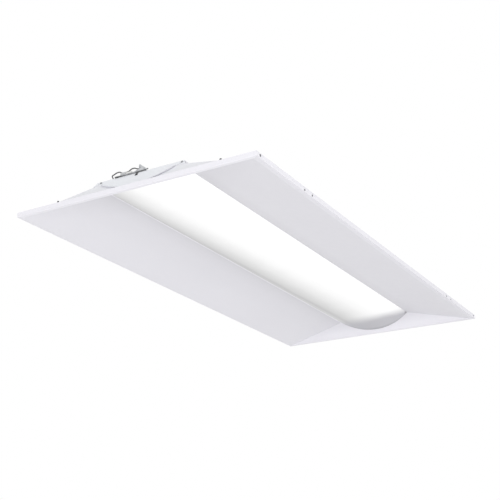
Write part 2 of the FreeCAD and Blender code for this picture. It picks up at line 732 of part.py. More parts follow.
# snap bushing in the near wall of the cover
bush = solid("snap_bushing", "XZ", [("circle", S["bush_x"], S["bush_z"], S["bush_r"] + 3.4)], y0 - 0.85, 1.6)
pad(bush, "XZ", [("circle", S["bush_x"], S["bush_z"], S["bush_r"] + 1.55)], y0 + 0.85, 5.0)
pad(bush, "XZ", [("circle", S["bush_x"], S["bush_z"], S["bush_r"] + 2.2)], y0 + t + 1.2, 2.2)
pocket(bush, "XZ", [("circle", S["bush_x"], S["bush_z"], S["bush_r"])], y0, 20)
node(bush)

# ---------------------------------------------------------------- driver
dx, dh, dy0, dy1 = S["driver_x"], S["driver_half"], S["driver_y0"], S["driver_y1"]
dz0 = cz + 0.03
dz1 = dz0 + S["driver_h"]
base = solid("driver_base", "XY", [rect(dx - dh, dy0, dx + dh, dy1)], dz0 + 8.0, 16.0)
pocket(base, "XY", [rect(dx - dh + 0.8, dy0 - 5, dx + dh - 0.8, dy1 + 5)], dz0 + 0.8 + 10.0, 20.0)
for s, ye in ((-1, dy0), (1, dy1)):
    pad(base, "XY", [[(dx - 9, ye - s * 0.4), (dx - 9, ye + s * 13), (dx + 9, ye + s * 13), (dx + 9, ye - s * 0.4)]],
        dz0 + 0.4, 0.8)
pocket(base, "XY", [("circle", dx, dy0 - 7.0, 1.85), ("circle", dx, dy1 + 7.0, 1.85)], dz0, 6)
node(base)
lid = solid("driver_cover", "XY", [rect(dx - dh + 0.85, dy0 + 0.05, dx + dh - 0.85, dy1 - 0.05)],
            (dz0 + 9.0 + dz1) / 2, dz1 - dz0 - 9.0)
pocket(lid, "XY", [rect(dx - dh + 1.65, dy0 + 0.85, dx + dh - 1.65, dy1 - 0.85)], (dz0 + dz1 - 0.8) / 2, dz1 - 0.8 - dz0)
pocket(lid, "XZ", [rect(dx - 13.0, dz0 + 5.0, dx + 13.0, dz0 + 16.0)], (dy0 + dy1) / 2, 320)
node(lid)
board = solid("driver_circuit_board", "XY", [rect(dx - 17.5, dy0 + 2, dx + 17.5, dy1 - 2)], dz0 + 5.0, 1.6)
for (cx, cy, w, l, h) in ((4, 45, 18, 20, 13), (-7, 78, 12, 12, 12), (6, 110, 20, 22, 14), (-5, 150, 14, 16, 10),
                          (5, 185, 22, 20, 13), (-6, 215, 12, 14, 9)):
    pad(board, "XY", [rect(dx + cx - w / 2, dy0 + cy - l / 2, dx + cx + w / 2, dy0 + cy + l / 2)],
        dz0 + 5.7 + h / 2.0, float(h))
node(board)
term = solid("driver_terminals", "XY",
             [rect(dx - 12.0, dy0 - 2.0, dx + 12.0, dy0 + 9.0), rect(dx - 12.0, dy1 - 9.0, dx + 12.0, dy1 + 2.0)],
             dz0 + 5.85 + 4.8, 9.6, compound=True)
tz = dz0 + 5.85 + 4.8
pocket(term, "XZ", [("circle", dx - 8.0, tz, 1.4), ("circle", dx, tz, 1.4), ("circle", dx + 8.0, tz, 1.4)], dy0 - 2.0, 14.0)
pocket(term, "XZ", [("circle", dx - 5.0, tz, 1.4), ("circle", dx + 5.0, tz, 1.4)], dy1 + 2.0, 14.0)
node(term)
spots = [(V(dx.v, dy0.v - 7.0, dz0.v + 0.82), None), (V(dx.v, dy1.v + 7.0, dz0.v + 0.82), None)]
node(fasteners("driver_screws", spots, S["screw_head_r"], S["screw_head_h"], S["screw_r"], 4.2, 1.9))

# ---------------------------------------------------------------- supply side
# ground screw on the channel, inside the wiring compartment
gsx, gsy = S["ground_x"], S["ground_y"]
node(fasteners("ground_screw", [(V(gsx.v, gsy.v, cz.v + 0.84), None)], 4.2, 2.6, S["screw_r"], 3.6, 2.2))
lug = solid("ground_lug", "XY", [("circle", gsx, gsy, 4.6)], cz + 0.02 + 0.4, 0.8)
pad(lug, "XY", [rect(gsx - 15.0, gsy - 2.2, gsx - 1.0, gsy + 2.2)], cz + 0.02 + 0.4, 0.8)
pad(lug, "XY", [rect(gsx - 19.0, gsy - 2.4, gsx - 10.0, gsy + 2.4)], cz + 0.02 + 2.2, 4.4)
pocket(lug, "XY", [("circle", gsx, gsy, 1.85)], cz, 6)
pocket(lug, "YZ", [("circle", gsy, cz + 2.42, 1.36)], gsx - 19.0, 14.0)
node(lug)

# galvanised strap on the near end of the channel, hooked over the end plate
zt = cz + 0.04
yb = -(steep(cz, 2.0) + 0.05).v
strap = solid("connector_bracket", "XY", [rect(-64.0, yb - 2.4, 16.0, -547.0)], zt + 0.4, 0.8)
front = [(-64.0, zt), (16.0, zt), (21.0, zt + 1.2), (0.0, zt + 17.0), (-1.2, zt + 14.0), (-1.2, zt + 6.5),
         (-9.0, zt + 4.0), (-18.0, zt + 2.6), (-64.0, zt + 2.6)]
pad(strap, "XZ", [front], yb - 2.0, 0.8)
lz0, lz1 = zt - 8.2, zt + 0.7
leg = [(-(steep(lz0, 2.0) + 0.12), lz0), (-(steep(lz1, 2.0) + 0.12), lz1),
       (-(steep(lz1, 3.1) + 0.12), lz1), (-(steep(lz0, 3.1) + 0.12), lz0)]
pad(strap, "YZ", [leg], -6.0, 6.0)
pocket(strap, "XY", [("circle", 6.0, -556.0, 1.85)], zt, 4)
node(strap)
spots = [(V(6.0, -556.0, zt.v + 0.82), None)]
node(fasteners("bracket_screw", spots, S["screw_head_r"], S["screw_head_h"], S["screw_r"], 4.2, 1.9))

# two-part plug connector held by the strap
cz0 = zt + 0.82
sock = solid("supply_socket", "XY", [rect(-52.5, -570.5, -39.2, -553.5)], cz0 + 4.7, 9.4)
pad(sock, "XY", [rect(-48.0, -566.5, -43.5, -557.5)], cz0 + 9.2, 1.6)
for y in (-567.0, -562.0, -557.0):
    pocket(sock, "YZ", [("circle", y, cz0 + 4.6, 1.35)], -52.5, 12.0)
node(sock)
plug = solid("supply_plug", "XY", [rect(-39.15, -569.3, -24.5, -554.7)], cz0 + 4.5, 7.6)
pad(plug, "XY", [rect(-36.0, -565.0, -27.0, -559.0)], cz0 + 8.6, 1.4)
for y in (-566.0, -562.0, -558.0):
    pocket(plug, "YZ", [("circle", y, cz0 + 4.6, 1.35)], -24.5, 12.0)
node(plug)

r = S["wire_r"].v
c0 = cz0.v + 4.6
bxx, bzz = S["bush_x"].v, S["bush_z"].v
dt = tz.v
ty = dy0.v - 8.0
zl = cz.v + 2.42
node(lead("supply_lead_line", [
    (-18.0, -566.0, c0), (4.0, -567.0, c0), (13.2, -567.2, c0 + 0.2), (13.2, -561.6, c0 + 3.9), (4.0, -561.6, c0 + 3.3),
    (-4.0, -561.6, c0 + 7.6), (-16.0, -561.6, c0 + 9.4), (-22.0, -561.6, c0 + 12.9), (-31.0, -561.6, c0 + 12.9),
    (-37.5, -561.6, c0 + 8.2), (-53.0, -561.6, c0 + 7.9), (-63.0, -561.6, c0 + 13.4), (-71.0, -561.6, c0 + 12.4),
    (-76.5, -561.6, c0 + 9.9), (-83.0, -560.8, c0 + 9.0), (-85.5, -551.0, c0 + 3.6), (-70.0, -542.0, c0 + 1.6),
    (-20.0, -534.0, c0 + 3.0), (bxx - 2.4, -518.0, bzz - 1.5), (bxx - 2.4, -503.0, bzz - 1.5), (-8.0, -490.0, dt + 0.4),
    (2.0, -474.0, dt), (6.0, -462.0, dt)], r, (12.0, 0, 0), (0, 12.0, 0)))
node(lead("supply_lead_neutral", [
    (-21.0, -558.0, c0), (-12.0, -556.5, c0 + 0.6), (-4.0, -547.0, c0 + 1.5), (-2.5, -534.0, c0 + 3.5),
    (bxx, -520.0, bzz + 2.7), (bxx, -503.0, bzz + 2.7), (-4.0, -490.0, dt + 2.5), (8.0, -474.0, dt + 0.6),
    (14.0, -462.0, dt)], r, (9.0, 0, 0), (0, 12.0, 0)))
node(lead("supply_lead_ground", [
    (-21.0, -562.0, c0), (-8.0, -562.0, c0), (4.0, -557.5, c0 + 0.4), (6.5, -546.0, c0 + 1.5), (3.0, -532.0, c0 + 3.5),
    (bxx + 2.4, -515.0, bzz - 1.5), (bxx + 2.4, -503.0, bzz - 1.5), (-7.5, -493.0, bzz - 6.0), (-7.5, -482.0, zl + 1.0),
    (-1.0, gsy.v, zl)], r, (9.0, 0, 0), (10.0, 0, 0)))

# ---------------------------------------------------------------- output side
gx, gy, gr = S["grommet_x"], S["grommet_y"], S["grommet_r"]
grommet = solid("channel_grommet", "XY", [("circle", gx, gy, gr + 1.55)], cz - t / 2, t + 2.4)
pad(grommet, "XY", [("circle", gx, gy, gr + 3.2)], cz + 0.02 + 0.7, 1.4)
pad(grommet, "XY", [("circle", gx, gy, gr + 3.2)], cz - t - 0.02 - 0.7, 1.4)
pocket(grommet, "XY", [("circle", gx, gy, gr)], cz, 20)
node(grommet)
lo = (bz - bt).v - 2.22
for nm, q in (("left", -1), ("right", 1)):
    px2 = q * (bx.v - 6.5)
    x1, x2 = gx.v + q * 5.0, gx.v + q * 1.65
    route = [(x1, dy1.v + 6.0, dt), (x1 - q * 1.5, gy.v - 5.0, dt - 1.2), (x2, gy.v, dt - 7.2), (x2, gy.v, lo - 2.9)]
    if q < 0:
        route += [(-8.0, gy.v + 8.0, lo - 5.9), (-24.0, gy.v + 12.0, lo - 4.9)]
    else:
        route += [(26.0, gy.v + 8.0, lo - 4.4)]
    route += [(px2 - q * 2.5, gy.v + 14.0, lo - 2.9), (px2, gy.v + 5.0, lo)]
    node(lead("output_lead_" + nm, route, r, (0, 9.0, 0), (0, -14.0, 0)))

# ---------------------------------------------------------------- grid clips
# Steel leaf on two tongues that sit in the rail slots; folded in for packing, swung up to hold the tee.
ang = math.degrees(math.atan(m.v))
ct, cl = S["clip_t"], S["clip_len"]
ca = rail - S["clip_ax_in"]
for ename, s in (("near", -1), ("far", 1)):
    for sname, q in (("left", -1), ("right", 1)):
        reach = S["clip_ax_in"] - 0.12
        half, sh = S["clip_half"], S["slot_half"]
        wide = sh + S["slot_w"] / 2 - 0.06
        tin = sh - S["slot_w"] / 2 + 0.06
        # drawn flat: x runs from the hinge line, inward is negative
        out = [(-cl, -half), (-9.0, -half), (-5.0, -wide), (reach, -wide), (reach, -tin), (-1.0, -tin), (-1.0, tin),
               (reach, tin), (reach, wide), (-5.0, wide), (-9.0, half), (-cl, half)]
        if q < 0:
            out = mirror_x(out)
        clip = solid("grid_clip_%s_%s" % (ename, sname), "XY", [out], 0, ct)
        hook_lo, hook_hi = dim(-0.4), S["clip_hook"]
        hook = [(-cl, -ct / 2), (-cl + ct, -ct / 2), (-cl + ct, hook_hi - 1.2), (-cl + 2.6, hook_hi),
                (-cl + 2.0, hook_hi + 0.6), (-cl, hook_hi - 1.0)]
        if q < 0:
            hook = mirror_x(hook)
        pad(clip, "XZ", [hook], 0, 2 * half)
        for h in (1, -1):
            pad(clip, "XZ", [("circle", 0, 0, S["clip_barrel_r"])], h * sh, S["slot_w"] - 0.12)
        pocket(clip, "XY", [("circle", -q * 21.0, 0, 4.0)], 0, 4)
        clip.Placement = FreeCAD.Placement(V(q * ca.v, s * S["clip_y"].v, S["clip_az"].v),
                                           FreeCAD.Rotation(V(0, 1, 0), q * ang))
        node(clip)

# ---------------------------------------------------------------- rivets and screws of the ends
tilt = math.degrees(math.atan(m.v))
spots = []
for s in (1, -1):
    for q in (1, -1):
        n = V(q * m.v, 0, 1)
        n.normalize()
        seat = V(q * 206.0, s * 584.5, back(dim(206.0), 2).v + 0.04)
        spots.append((seat, FreeCAD.Rotation(V(0, 1, 0), q * tilt)))
node(fasteners("end_panel_rivets", spots, 2.6, 5.4, 1.6, 1.35))
spots = []
for s in (1, -1):
    turn = FreeCAD.Rotation(V(1, 0, 0), -s * math.degrees(math.acos(1 / math.sqrt(1 + me.v * me.v))))
    n = turn.multVec(V(0, 0, 1))
    for x, z in PLATE_SCREWS:
        on = V(-s * x, s * steep(dim(z)).v, z)
        spots.append((on + n * (2 * t.v + 0.09), turn))
node(fasteners("end_plate_screws", spots, 2.3, 1.8, 1.6, 2.2, 1.3))

# flush rivets that hold the corner tabs to the rails
parts = []
i = 0
for s in (1, -1):
    for q in (1, -1):
        y, z = s * corner_y.v, S["corner_hole_z"].v
        parts.append(cone("corner_rivets_head_%d" % i, corner_r(-0.02) - 0.06, corner_r(-0.76) - 0.06, 0.74,
                          V(q * (hw.v - 0.02), y, z), inward(q)))
        parts.append(cylinder("corner_rivets_shank_%d" % i, S["corner_rivet_r"], 1.6, V(q * (hw.v - 0.6), y, z), inward(q)))
        parts.append(cylinder("corner_rivets_tail_%d" % i, 2.5, 0.9, V(q * (rail.v - t.v - 0.03), y, z), inward(q)))
        i += 1
node(fuse("corner_rivets", parts))

# ---------------------------------------------------------------- checks and export
doc.recompute()
for o in doc.Objects:
    if "Invalid" in o.State or "Error" in o.State:
        raise RuntimeError("object failed: %s %s" % (o.Label, o.State))
for o in NODES:
    if o.Shape.isNull() or not o.Shape.isValid():
        raise RuntimeError("bad shape: " + o.Label)
    if not o.Shape.Solids:
        raise RuntimeError("no solid: " + o.Label)
    o.Shape.exportStep("parts/%s.step" % o.Label)
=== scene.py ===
import json
import math
import random

import bmesh
import bpy
from mathutils import Matrix, Vector

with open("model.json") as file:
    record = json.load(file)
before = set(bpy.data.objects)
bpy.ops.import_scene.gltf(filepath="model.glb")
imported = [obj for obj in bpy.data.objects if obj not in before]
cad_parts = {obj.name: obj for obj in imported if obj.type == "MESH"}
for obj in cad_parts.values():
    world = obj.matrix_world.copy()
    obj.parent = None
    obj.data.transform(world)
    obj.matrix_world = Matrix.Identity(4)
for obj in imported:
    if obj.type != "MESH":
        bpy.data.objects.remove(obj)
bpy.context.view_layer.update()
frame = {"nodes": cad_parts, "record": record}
scene = bpy.context.scene
nodes = frame["nodes"]
random.seed(7)

# ---------------------------------------------------------------- camera
EYE = Vector((1.16683, -2.04062, -0.82481))
YAW, PITCH, ROLL = -0.5331772, 0.3627393, 0.0036213
FOCAL_PX, CENTRE_X = 993.813, 265.0
fwd = Vector((math.sin(YAW) * math.cos(PITCH), math.cos(YAW) * math.cos(PITCH), math.sin(PITCH)))
level = Vector((math.cos(YAW), -math.sin(YAW), 0.0))
up = level.cross(fwd)
right = level * math.cos(ROLL) + up * math.sin(ROLL)
top = -level * math.sin(ROLL) + up * math.cos(ROLL)
cam_data = bpy.data.cameras.new("camera")
cam_data.sensor_width = 36.0
cam_data.lens = FOCAL_PX / 500.0 * 36.0
cam_data.shift_x = -(CENTRE_X - 250.0) / 500.0
cam_data.clip_start, cam_data.clip_end = 0.05, 60.0
cam = bpy.data.objects.new("camera", cam_data)
scene.collection.objects.link(cam)
m = Matrix((right, top, -fwd)).transposed().to_4x4()
m.translation = EYE
cam.matrix_world = m
scene.camera = cam
scene.view_settings.view_transform = "Standard"

# ---------------------------------------------------------------- light and floor
world = bpy.data.worlds.new("studio")
scene.world = world
world.use_nodes = True
wnt = world.node_tree
bg = wnt.nodes["Background"]
bg.inputs["Color"].default_value = (1.0, 1.0, 1.0, 1.0)
# white cyclorama that dims towards the zenith
wc = wnt.nodes.new("ShaderNodeTexCoord")
wx = wnt.nodes.new("ShaderNodeSeparateXYZ")
wr = wnt.nodes.new("ShaderNodeValToRGB")
wm = wnt.nodes.new("ShaderNodeMath")
wm.operation = "MULTIPLY_ADD"
wm.inputs[1].default_value = 0.5
wm.inputs[2].default_value = 0.5
wnt.links.new(wc.outputs["Generated"], wx.inputs[0])
wnt.links.new(wx.outputs[2], wm.inputs[0])
wnt.links.new(wm.outputs[0], wr.inputs["Fac"])
wr.color_ramp.elements[0].position = 0.82
wr.color_ramp.elements[0].color = (1.0, 1.0, 1.0, 1.0)
wr.color_ramp.elements[1].position = 0.95
wr.color_ramp.elements[1].color = (0.5, 0.5, 0.5, 1.0)
wnt.links.new(wr.outputs["Color"], bg.inputs["Color"])
bg.inputs["Strength"].default_value = 1.0


def area(name, loc, target, size, power, color=(1, 1, 1)):
    d = bpy.data.lights.new(name, "AREA")
    d.shape = "RECTANGLE"
    d.size, d.size_y = size
    d.energy = power
    d.color = color
    o = bpy.data.objects.new(name, d)
    o.location = loc
    o.rotation_euler = (Vector(target) - Vector(loc)).to_track_quat("-Z", "Y").to_euler()
    scene.collection.objects.link(o)
    return o


area("soft_below", (1.2, -2.8, -2.4), (0, 0, 0), (2.6, 2.6), 39.5)
area("soft_up", (0.5, 0.2, -2.9), (0, 0, 0), (3.0, 3.0), 11.8)
area("soft_right", (4.0, -3.0, 1.2), (0, 0, 0.02), (2.6, 2.0), 45.0)


def new_material(name):
    mat = bpy.data.materials.new(name)
    mat.use_nodes = True
    nt = mat.node_tree
    for n in list(nt.nodes):
        nt.nodes.remove(n)
    out = nt.nodes.new("ShaderNodeOutputMaterial")
    b = nt.nodes.new("ShaderNodeBsdfPrincipled")
    nt.links.new(b.outputs["BSDF"], out.inputs["Surface"])
    return mat, nt, b


def node(nt, kind, **values):
    n = nt.nodes.new(kind)
    for key, value in values.items():
        if key in n.inputs:
            n.inputs[key].default_value = value
        else:
            setattr(n, key, value)
    return n


def place(nt):
    return nt.nodes.new("ShaderNodeTexCoord").outputs["Object"]


def noise(nt, scale, detail=3.0, rough=0.5, vector=None):
    n = node(nt, "ShaderNodeTexNoise", Scale=scale, Detail=detail, Roughness=rough)
    nt.links.new(vector if vector is not None else place(nt), n.inputs["Vector"])
    return n.outputs["Fac"]


def ramp(nt, fac, stops):
    r = nt.nodes.new("ShaderNodeValToRGB")
    while len(r.color_ramp.elements) < len(stops):
        r.color_ramp.elements.new(0.5)
    for e, (pos, col) in zip(r.color_ramp.elements, stops):
        e.position = pos
        e.color = (*col, 1.0) if len(col) == 3 else col
    nt.links.new(fac, r.inputs["Fac"])
    return r.outputs["Color"]


def bump(nt, b, height, strength, distance):
    n = node(nt, "ShaderNodeBump", Strength=strength, Distance=distance)
    nt.links.new(height, n.inputs["Height"])
    nt.links.new(n.outputs["Normal"], b.inputs["Normal"])
    return n


def math_node(nt, op, a, c=None, clamp=False):
    n = nt.nodes.new("ShaderNodeMath")
    n.operation = op
    n.use_clamp = clamp
    for i, v in enumerate((a, c)):
        if v is None:
            continue
        if isinstance(v, (int, float)):
            n.inputs[i].default_value = v
        else:
            nt.links.new(v, n.inputs[i])
    return n.outputs[0]


def powder_coat(name, color, rough=0.42, peel=0.05, spread=0.015):
    """painted sheet steel: fine orange peel and a faint drift in shade"""
    mat, nt, b = new_material(name)
    drift = noise(nt, 5.0, 4.0)
    lo = tuple(max(0.0, c - spread) for c in color)
    hi = tuple(min(1.0, c + spread) for c in color)
    nt.links.new(ramp(nt, drift, [(0.3, lo), (0.7, hi)]), b.inputs["Base Color"])
    r = ramp(nt, noise(nt, 60.0, 4.0), [(0.3, (rough - 0.05,) * 3), (0.7, (rough + 0.06,) * 3)])
    nt.links.new(r, b.inputs["Roughness"])
    b.inputs["Specular IOR Level"].default_value = 0.45
    bump(nt, b, noise(nt, 900.0, 2.0), peel, 0.0004)
    return mat


def times(nt, color, factor):
    """colour times a grey factor"""
    n = nt.nodes.new("ShaderNodeMix")
    n.data_type = "RGBA"
    n.blend_type = "MULTIPLY"
    n.inputs[0].default_value = 1.0
    for socket, value in ((n.inputs[6], color), (n.inputs[7], factor)):
        if isinstance(value, tuple):
            socket.default_value = value
        else:
            nt.links.new(value, socket)
    return n.outputs[2]


def grey(v):
    return (v, v, v)


def sheet_steel(name, color, shade_along_x, flange, upward_light_tint, shade_with_height=0.0, shade_to_sides=0.0, rim_wall_light=0.0, lip=0.0):
    """folded sheet in satin powder coat, with painted light and shade in its colour: painted shade a little deeper
    near the lens and in the corners by the near end wall, a painted highlight along the left hem, the rim flange made
    lighter on some parts and darker on others, a painted tint of light (a touch cooler on the side panels) on the
    faces that look up into the ceiling void, and on some parts painted shade with height and away from the middle,
    painted shade on one side of the lip, and a painted highlight on the +x rim wall"""
    mat, nt, b = new_material(name)
    drift = noise(nt, 4.0, 4.0)
    col = ramp(nt, drift, [(0.3, tuple(c * 0.992 for c in color)), (0.7, tuple(min(1.0, c * 1.008) for c in color))])
    xyz = nt.nodes.new("ShaderNodeSeparateXYZ")
    nt.links.new(place(nt), xyz.inputs[0])
    if shade_along_x:
        # painted shade across the panel, deeper towards the lens, with a painted highlight on the left hem
        across = math_node(nt, "ADD", math_node(nt, "MULTIPLY", xyz.outputs[0], 1.0 / 0.604), 0.5, True)
        col = times(nt, col, ramp(nt, across, [((x + 0.302) / 0.604, grey(v)) for x, v in shade_along_x]))
        # painted shade: a little deeper in the corners by the near end wall
        inward = math_node(nt, "SUBTRACT", math_node(nt, "ABSOLUTE", xyz.outputs[0]), 0.15)
        reach = math_node(nt, "MULTIPLY", math_node(nt, "ADD", xyz.outputs[1], inward), -1.0)
        corner_shade = math_node(nt, "MULTIPLY", math_node(nt, "SUBTRACT", reach, 0.44), 7.0, True)
        col = times(nt, col, ramp(nt, corner_shade, [(0.0, grey(1.0)), (1.0, grey(0.935))]))
    if shade_with_height:
        # painted shade: darker from 12 mm up to 32 mm in height
        up = math_node(nt, "MULTIPLY", math_node(nt, "SUBTRACT", xyz.outputs[2], 0.012), 50.0, True)
        col = times(nt, col, ramp(nt, up, [(0.0, grey(1.0)), (1.0, grey(1.0 - shade_with_height))]))
    if shade_to_sides:
        # painted shade: darker away from the middle, from |x| 62 mm out to 250 mm
        off = math_node(nt, "MULTIPLY", math_node(nt, "ABSOLUTE", xyz.outputs[0]), 4.0, True)
        col = times(nt, col, ramp(nt, off, [(0.25, grey(1.0)), (1.0, grey(1.0 - shade_to_sides))]))
    # painted light: faces in the bottom 0.6 mm, the underside of the flange, are scaled by the flange factor
    low = ramp(nt, math_node(nt, "MULTIPLY", xyz.outputs[2], 500.0, True), [(0.30, grey(1.0)), (0.40, grey(1.0 / flange))])
    col = times(nt, col, times(nt, low, (flange, flange, flange, 1.0)))
    # painted light: faces that look up get a tint standing in for the light they receive
    nrm = nt.nodes.new("ShaderNodeSeparateXYZ")
    nt.links.new(nt.nodes.new("ShaderNodeTexCoord").outputs["Normal"], nrm.inputs[0])
    upward = math_node(nt, "ADD", math_node(nt, "MULTIPLY", nrm.outputs[2], 4.0), -0.6, True)
    col = times(nt, col, ramp(nt, upward, [(0.0, (1.0, 1.0, 1.0)), (1.0, upward_light_tint)]))
    if lip:
        # painted shade: lip faces that lean towards +x are darker and those towards -x lighter, scaled back to the
        # mean
        lean = math_node(nt, "ADD", math_node(nt, "MULTIPLY", nrm.outputs[0], 0.5), 0.5, True)
        col = times(nt, col, ramp(nt, lean, [(0.3, grey(1.0)), (0.5, grey(1.0 - 0.4 * lip)), (0.7, grey(1.0 - lip))]))
        col = times(nt, col, grey(1.0 / (1.0 - 0.4 * lip)) + (1.0,))
    if rim_wall_light:
        # painted highlight: the rim wall on the +x side faces the light and is made lighter
        side = math_node(nt, "MULTIPLY", math_node(nt, "SUBTRACT", nrm.outputs[0], 0.8), 8.0, True)
        col = times(nt, times(nt, col, grey(1.0 + rim_wall_light) + (1.0,)), ramp(nt, side, [(0.0, grey(1.0 / (1.0 + rim_wall_light))), (1.0, grey(1.0))]))
    nt.links.new(col, b.inputs["Base Color"])
    r = ramp(nt, noise(nt, 60.0, 4.0), [(0.3, grey(0.40)), (0.7, grey(0.50))])
    nt.links.new(r, b.inputs["Roughness"])
    b.inputs["Specular IOR Level"].default_value = 0.4
    bump(nt, b, noise(nt, 900.0, 2.0), 0.03, 0.0004)
    return mat


def galvanised(name, color=(0.52, 0.53, 0.55)):
    """zinc spangle: flat crystals of slightly different grey with soft edges"""
    mat, nt, b = new_material(name)
    v = node(nt, "ShaderNodeTexVoronoi", Scale=260.0)
    nt.links.new(place(nt), v.inputs["Vector"])
    sep = nt.nodes.new("ShaderNodeSeparateColor")
    nt.links.new(v.outputs["Color"], sep.inputs["Color"])
    mixed = math_node(nt, "ADD", math_node(nt, "MULTIPLY", sep.outputs[0], 0.6), math_node(nt, "MULTIPLY", noise(nt, 90.0), 0.4))
    lo = tuple(c * 0.72 for c in color)
    hi = tuple(min(1.0, c * 1.22) for c in color)
    nt.links.new(ramp(nt, mixed, [(0.15, lo), (0.85, hi)]), b.inputs["Base Color"])
    nt.links.new(ramp(nt, mixed, [(0.1, (0.34,) * 3), (0.9, (0.5,) * 3)]), b.inputs["Roughness"])
    b.inputs["Metallic"].default_value = 0.85
    bump(nt, b, mixed, 0.12, 0.0002)
    return mat


def zinc(name, color=(0.55, 0.55, 0.57), metallic=0.9, rough=0.35):
    mat, nt, b = new_material(name)
    tone = noise(nt, 700.0, 3.0)
    nt.links.new(ramp(nt, tone, [(0.3, tuple(c * 0.8 for c in color)), (0.7, tuple(min(1, c * 1.1) for c in color))]),
                 b.inputs["Base Color"])
    nt.links.new(ramp(nt, noise(nt, 1500.0, 2.0), [(0.3, (rough - 0.08,) * 3), (0.7, (rough + 0.1,) * 3)]), b.inputs["Roughness"])
    b.inputs["Metallic"].default_value = metallic
    bump(nt, b, noise(nt, 2200.0, 2.0), 0.08, 0.0001)
    return mat


def bracket_steel(name):
    """zinc strap; painted shade darkens its lower part and the leg, by an amount listed along its length, while flats
    that face up keep the bright spangle
    """
    mat, nt, b = new_material(name)
    v = node(nt, "ShaderNodeTexVoronoi", Scale=260.0)
    nt.links.new(place(nt), v.inputs["Vector"])
    sep = nt.nodes.new("ShaderNodeSeparateColor")
    nt.links.new(v.outputs["Color"], sep.inputs["Color"])
    spangle = ramp(nt, sep.outputs[0], [(0.1, (0.36, 0.37, 0.39)), (0.9, (0.60, 0.61, 0.63))])
    xyz = nt.nodes.new("ShaderNodeSeparateXYZ")
    nt.links.new(place(nt), xyz.inputs[0])
    # painted shade: below a wavy height near 52.5 mm, on all but upward faces, the spangle is darkened by a tone that
    # varies along x and falls to near black on the leg below 48.5 mm
    wave = math_node(nt, "MULTIPLY", math_node(nt, "SUBTRACT", noise(nt, 160.0), 0.5), 0.0012)
    level = math_node(nt, "MULTIPLY", math_node(nt, "SUBTRACT", math_node(nt, "ADD", xyz.outputs[2], wave), 0.0525), 800.0, True)
    nrm = nt.nodes.new("ShaderNodeSeparateXYZ")
    nt.links.new(nt.nodes.new("ShaderNodeTexCoord").outputs["Normal"], nrm.inputs[0])
    level = math_node(nt, "MAXIMUM", level, math_node(nt, "MULTIPLY", math_node(nt, "SUBTRACT", nrm.outputs[2], 0.6), 5.0, True))
    along = math_node(nt, "MULTIPLY", math_node(nt, "ADD", xyz.outputs[0], 0.064), 1.0 / 0.085, True)
    tone = ramp(nt, along, [(0.0, grey(0.15)), (0.18, grey(0.17)), (0.24, grey(0.52)), (0.60, grey(0.52)), (0.74, grey(0.32)), (0.80, grey(0.22)), (1.0, grey(0.22))])
    low = math_node(nt, "MULTIPLY", math_node(nt, "SUBTRACT", 0.0485, xyz.outputs[2]), 900.0, True)
    tone = times(nt, tone, ramp(nt, low, [(0.0, grey(1.0)), (1.0, grey(0.10))]))
    shade_line = nt.nodes.new("ShaderNodeMix")
    shade_line.data_type = "RGBA"
    nt.links.new(level, shade_line.inputs[0])
    nt.links.new(tone, shade_line.inputs[6])
    shade_line.inputs[7].default_value = (1.0, 1.0, 1.0, 1.0)
    nt.links.new(times(nt, spangle, shade_line.outputs[2]), b.inputs["Base Color"])
    nt.links.new(ramp(nt, level, [(0.0, grey(0.2)), (1.0, grey(0.85))]), b.inputs["Metallic"])
    b.inputs["Roughness"].default_value = 0.42
    bump(nt, b, sep.outputs[0], 0.1, 0.0002)
    return mat


def coated_rivet(name):
    """dark plated above the panels, painted over with the room side"""
    mat, nt, b = new_material(name)
    xyz = nt.nodes.new("ShaderNodeSeparateXYZ")
    nt.links.new(place(nt), xyz.inputs[0])
    level = math_node(nt, "MULTIPLY", math_node(nt, "SUBTRACT", xyz.outputs[2], 0.0194), 4000.0, True)
    dark = ramp(nt, noise(nt, 700.0), [(0.3, (0.075, 0.075, 0.085)), (0.7, (0.12, 0.12, 0.13))])
    mix = nt.nodes.new("ShaderNodeMix")
    mix.data_type = "RGBA"
    nt.links.new(level, mix.inputs[0])
    mix.inputs[6].default_value = (0.75, 0.742, 0.785, 1.0)
    nt.links.new(dark, mix.inputs[7])
    nt.links.new(mix.outputs[2], b.inputs["Base Color"])
    nt.links.new(ramp(nt, noise(nt, 1500.0), [(0.3, grey(0.35)), (0.7, grey(0.5))]), b.inputs["Roughness"])
    bump(nt, b, noise(nt, 2200.0, 2.0), 0.08, 0.0001)
    return mat


def plastic(name, color, rough=0.4, grain=1800.0, depth=0.04, spread=0.02, spec=0.45):
    mat, nt, b = new_material(name)
    lo = tuple(max(0.0, c * (1 - spread * 3) - 0.002) for c in color)
    hi = tuple(min(1.0, c * (1 + spread * 2) + 0.002) for c in color)
    nt.links.new(ramp(nt, noise(nt, 120.0, 4.0), [(0.3, lo), (0.7, hi)]), b.inputs["Base Color"])
    nt.links.new(ramp(nt, noise(nt, 400.0), [(0.3, (rough - 0.05,) * 3), (0.7, (rough + 0.07,) * 3)]), b.inputs["Roughness"])
    b.inputs["Specular IOR Level"].default_value = spec
    bump(nt, b, noise(nt, grain, 2.0), depth, 0.0002)
    return mat


def circuit(name, color, line=0.6):
    """solder mask over copper tracks: faint raised lines along the board"""
    mat, nt, b = new_material(name)
    mp = node(nt, "ShaderNodeMapping")
    mp.inputs["Scale"].default_value = (420.0, 60.0, 1.0)
    nt.links.new(place(nt), mp.inputs["Vector"])
    br = node(nt, "ShaderNodeTexBrick", Scale=1.0)
    br.inputs["Mortar Size"].default_value = 0.06
    nt.links.new(mp.outputs["Vector"], br.inputs["Vector"])
    tracks = br.outputs["Fac"]
    nt.links.new(ramp(nt, tracks, [(0.0, color), (1.0, tuple(c * line for c in color))]), b.inputs["Base Color"])
    b.inputs["Roughness"].default_value = 0.32
    bump(nt, b, tracks, 0.25, 0.0001)
    return mat


